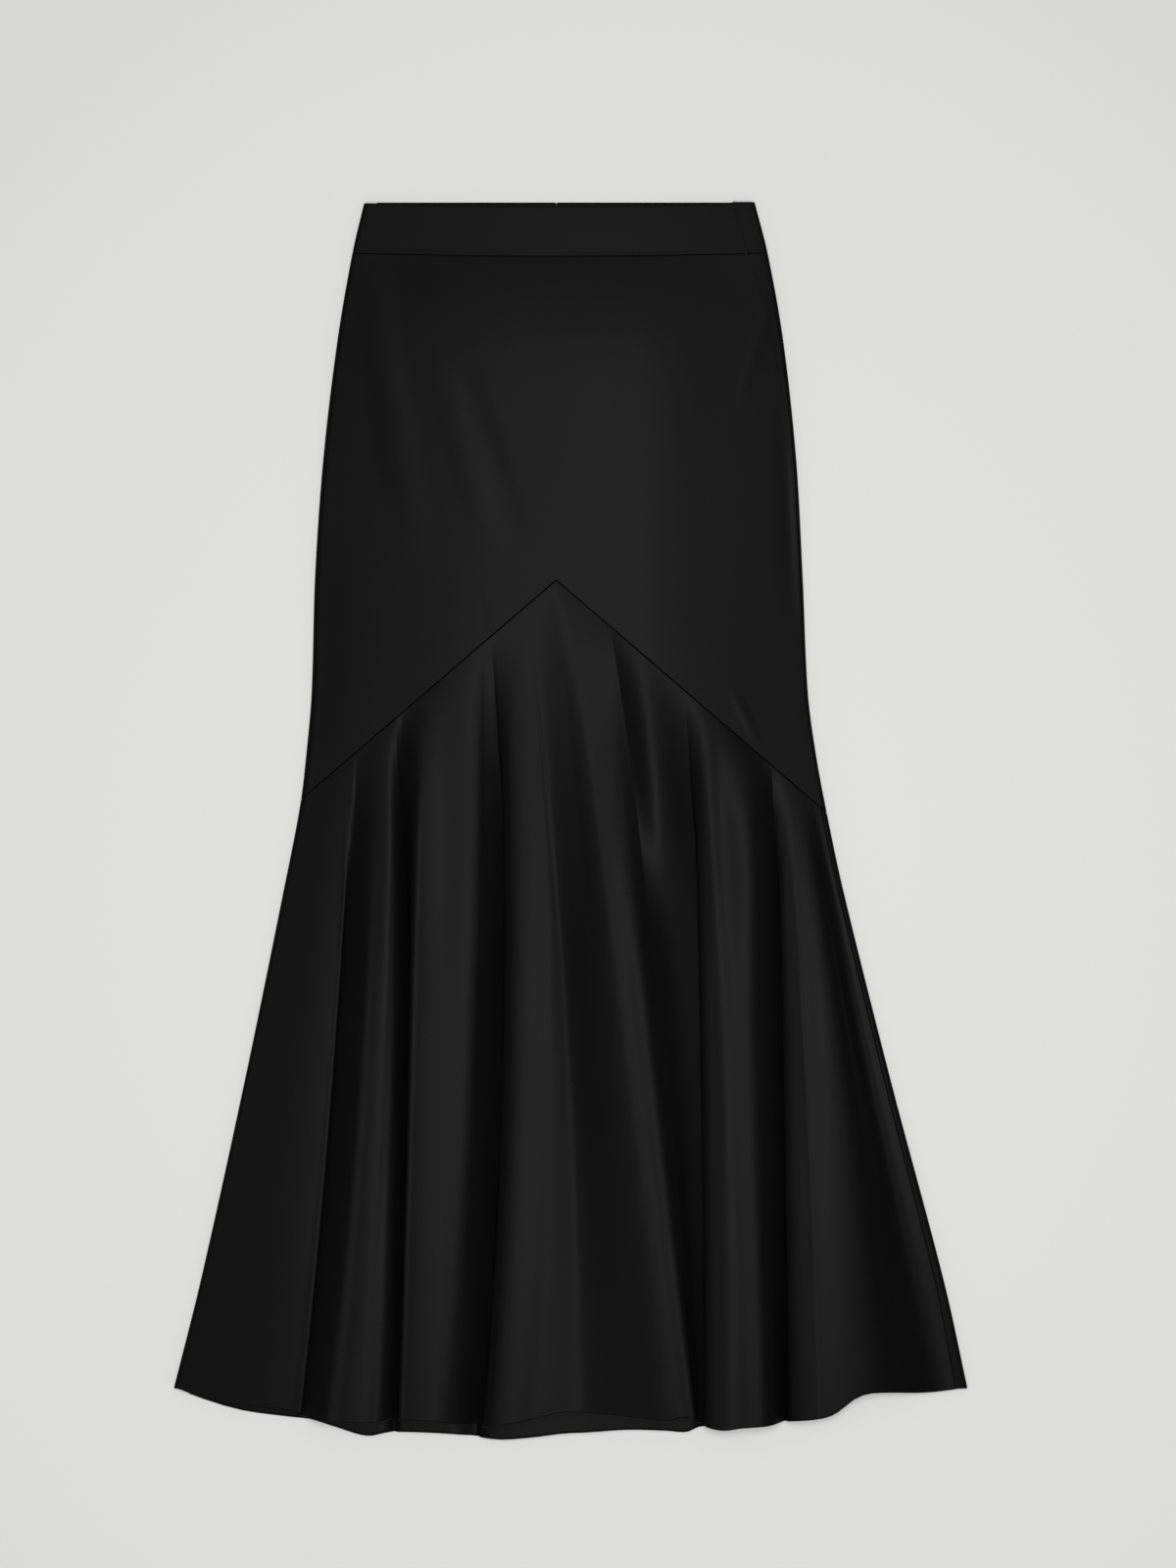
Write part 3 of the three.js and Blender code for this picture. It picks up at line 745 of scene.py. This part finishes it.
def flounce(layer, steps, down):
    """Grid of a flounce layer: the section at each share of the way down, between the seam and the hem. The
    back lies level and rises a little under each high fold of the front. The front is tucked and soft, and
    meets the body's surface at the seam."""
    seam_x, _ = spline(*section_points(np.zeros(1), layer), steps)
    hem_x, _ = spline(*section_points(np.ones(1), layer), steps)
    x, z = spline(*section_points(down, layer), steps)
    hem_y = curve_through(HEMS["x"], HEMS[layer], hem_x) + HEM_LIP
    hem_y[:, [0, -1]] = HEM_TIP + HEM_LIP
    top_y = pointed_seam(seam_x) - POINT_RISE
    y = top_y + (hem_y - top_y) * down[:, None]
    if layer == "front":
        z = soften(x, z, down)
        x, _ = spline(*section_points(down, layer, tucked=True), steps)
        body_z = tube(top_y, seam_x - edges(top_y)[1])[..., 2]
        z = np.maximum(z + (body_z - z[0]) * (1 - growth(down))[:, None], VALLEY)
    else:
        above = np.maximum(0, z - NEST_FROM)
        z = NEST * above * smooth(np.minimum(1, above / NEST_RAMP))
    return np.stack([x, y, z], axis=-1)


def side_turn(breaks, across, down):
    """Grid of the strip that turns round a side edge of the flounce, from the pointed seam to the hem. It
    stops one column short of its end, where the flounce's own first column lies."""
    return panel(
        breaks,
        across[:-1],
        lambda x: pointed_seam(x) - POINT_RISE,
        lambda x: HEM_TIP + HEM_LIP + 0 * x,
        down,
    )


def turn_flounce(grid, drop):
    """Lips along all four edges: the hem's radius below, and the seams' on the other three."""
    for edge in ("left", "right", "top"):
        grid = turn_edge(grid, edge, LIP, drop)
    return turn_edge(grid, "bottom", HEM_LIP, drop)


FLOUNCE_ROWS = {"front": 150, "back": 120}
ROW_GATHER = 1.15  # power that brings the rows closer together near the seam
FOLD_STEPS = {"front": 7, "back": 4}  # columns from one fold line to the next
LIP_COLUMNS = len(TURN_ANGLES) + 2  # what a lip adds in front of the grid's own columns

down = np.linspace(0, 1, FLOUNCE_ROWS["front"]) ** ROW_GATHER
left_turn = side_turn(lambda y: front_breaks(y, LIP)[:3], spread(3, 12), down)
grid = np.concatenate([left_turn, flounce("front", FOLD_STEPS["front"], down)], axis=1)
creased = LIP_COLUMNS + left_turn.shape[1] + FOLD_STEPS["front"] * (1 + np.flatnonzero(FOLDS["tuck"]))
flounce_front = shell("flounce_front_cloth", turn_flounce(grid, drop=0.8), creased=creased)
dress(flounce_front, crepe, "crepe", "flounce_front")

down = np.linspace(0, 1, FLOUNCE_ROWS["back"]) ** ROW_GATHER
right_turn = side_turn(lambda y: back_left_breaks(y, LIP)[:3], spread(4, 12), down)
grid = np.concatenate([right_turn, flounce("back", FOLD_STEPS["back"], down)[:, ::-1]], axis=1)
flounce_back = shell("flounce_back_cloth", turn_flounce(grid, drop=0.4))
dress(flounce_back, crepe, "crepe", "flounce_back")

# ---- Zip ---------------------------------------------------------------------------------------------------
# A closed concealed zip in the centre back seam: a moulded nylon coil between the two edges of the opening. It
# is sewn in from inside and lies face down.
COIL_PITCH = 1.25
COIL_HALF = 1.15  # half the coil's width
COIL_WALL = 0.5
COIL_HEIGHT, COIL_CUP, TOOTH_DEPTH = 0.3, 0.25, 0.2  # height in the middle, rise to the sides, dip of a tooth
COIL_BLACK = "#101011"
SPECKS_PER_METRE = 900.0  # unevenness left by the mould, a little over 1 mm apart

# A strip that curls up by the square of the distance from its middle, with a cosine wave of teeth along it
coil_y = np.arange(ZIP_END + 0.6, WAIST_TOP + BACK_RISE, COIL_PITCH / 4)[::-1, None]
coil_x = np.linspace(1, -1, 13)[None, :]
tooth = 0.5 + 0.5 * np.cos(2 * np.pi * coil_y / COIL_PITCH)
coil_z = COIL_HEIGHT + COIL_CUP * coil_x**2 - TOOTH_DEPTH * tooth * (1 - coil_x**2)
grid = np.stack(np.broadcast_arrays(CENTRE_X + COIL_HALF * coil_x, coil_y, coil_z), axis=-1)
zip_coil = shell("zip_coil", grid, COIL_WALL)

# Black moulded nylon with a dull satin face
nylon, tree, output = new_material("nylon_coil_black")
place = add_node(tree, "ShaderNodeTexCoord").outputs["Object"]
specks = add_node(tree, "ShaderNodeTexNoise", {"Vector": place, "Scale": SPECKS_PER_METRE, "Detail": 2.0})
satin = add_node(
    tree, "ShaderNodeMapRange", {"Value": specks.outputs["Fac"], "To Min": 0.35, "To Max": 0.5}
)
surface = add_node(
    tree,
    "ShaderNodeBsdfPrincipled",
    {"Base Color": linear(COIL_BLACK), "Roughness": satin.outputs["Result"], "IOR": 1.53},
)
tree.links.new(surface.outputs["BSDF"], output.inputs["Surface"])
dress(zip_coil, nylon, "zip", "back_zip")

# ---- Table, light and camera -------------------------------------------------------------------------------
# A plain white table top under one large soft light, with a camera that looks straight down.
FLOOR_WHITE = "#f1f1f0"
FLOOR_REACH, FLOOR_DROP = 6.0, 0.0006  # half its width, and how far it lies below the cloth
SOFTBOX_PLACE, SOFTBOX_SIZE, SOFTBOX_POWER = (0.049, -0.0625, 3.1), (0.162, 2.235), 66
ROOM_LIGHT = 0.22
CAMERA_X, CAMERA_Y, CAMERA_HEIGHT = 0.0149, 0.0311, 2.8
FRAME_HEIGHT = 1.328  # what the camera sees of the table from top to bottom
SENSOR = 36  # mm, along the frame's longer side

# White painted board, dull enough to take no reflection
painted_board, tree, output = new_material("painted_board_white")
surface = add_node(tree, "ShaderNodeBsdfPrincipled", {"Base Color": linear(FLOOR_WHITE), "Roughness": 0.9})
tree.links.new(surface.outputs["BSDF"], output.inputs["Surface"])
corners = FLOOR_REACH * np.array([(-1, -1, 0), (1, -1, 0), (1, 1, 0), (-1, 1, 0)]) - (0, 0, FLOOR_DROP)
mesh = bpy.data.meshes.new("floor")
mesh.from_pydata(corners.tolist(), [], [(0, 1, 2, 3)])
mesh.materials.append(painted_board)
floor = bpy.data.objects.new("floor", mesh)
bpy.context.scene.collection.objects.link(floor)

softbox = bpy.data.lights.new("strip_softbox", "AREA")
softbox.shape = "RECTANGLE"
softbox.size, softbox.size_y = SOFTBOX_SIZE
softbox.energy = SOFTBOX_POWER
lamp = bpy.data.objects.new("strip_softbox", softbox)
bpy.context.scene.collection.objects.link(lamp)
lamp.location = SOFTBOX_PLACE

room = bpy.data.worlds.new("room")
room.use_nodes = True
room.node_tree.nodes["Background"].inputs["Color"].default_value = (1, 1, 1, 1)
room.node_tree.nodes["Background"].inputs["Strength"].default_value = ROOM_LIGHT
bpy.context.scene.world = room

lens = bpy.data.cameras.new("camera")
lens.lens = SENSOR * CAMERA_HEIGHT / FRAME_HEIGHT
camera = bpy.data.objects.new("camera", lens)
bpy.context.scene.collection.objects.link(camera)
camera.location = (CAMERA_X, CAMERA_Y, CAMERA_HEIGHT)
bpy.context.scene.camera = camera
bpy.context.scene.view_settings.view_transform = "Standard"
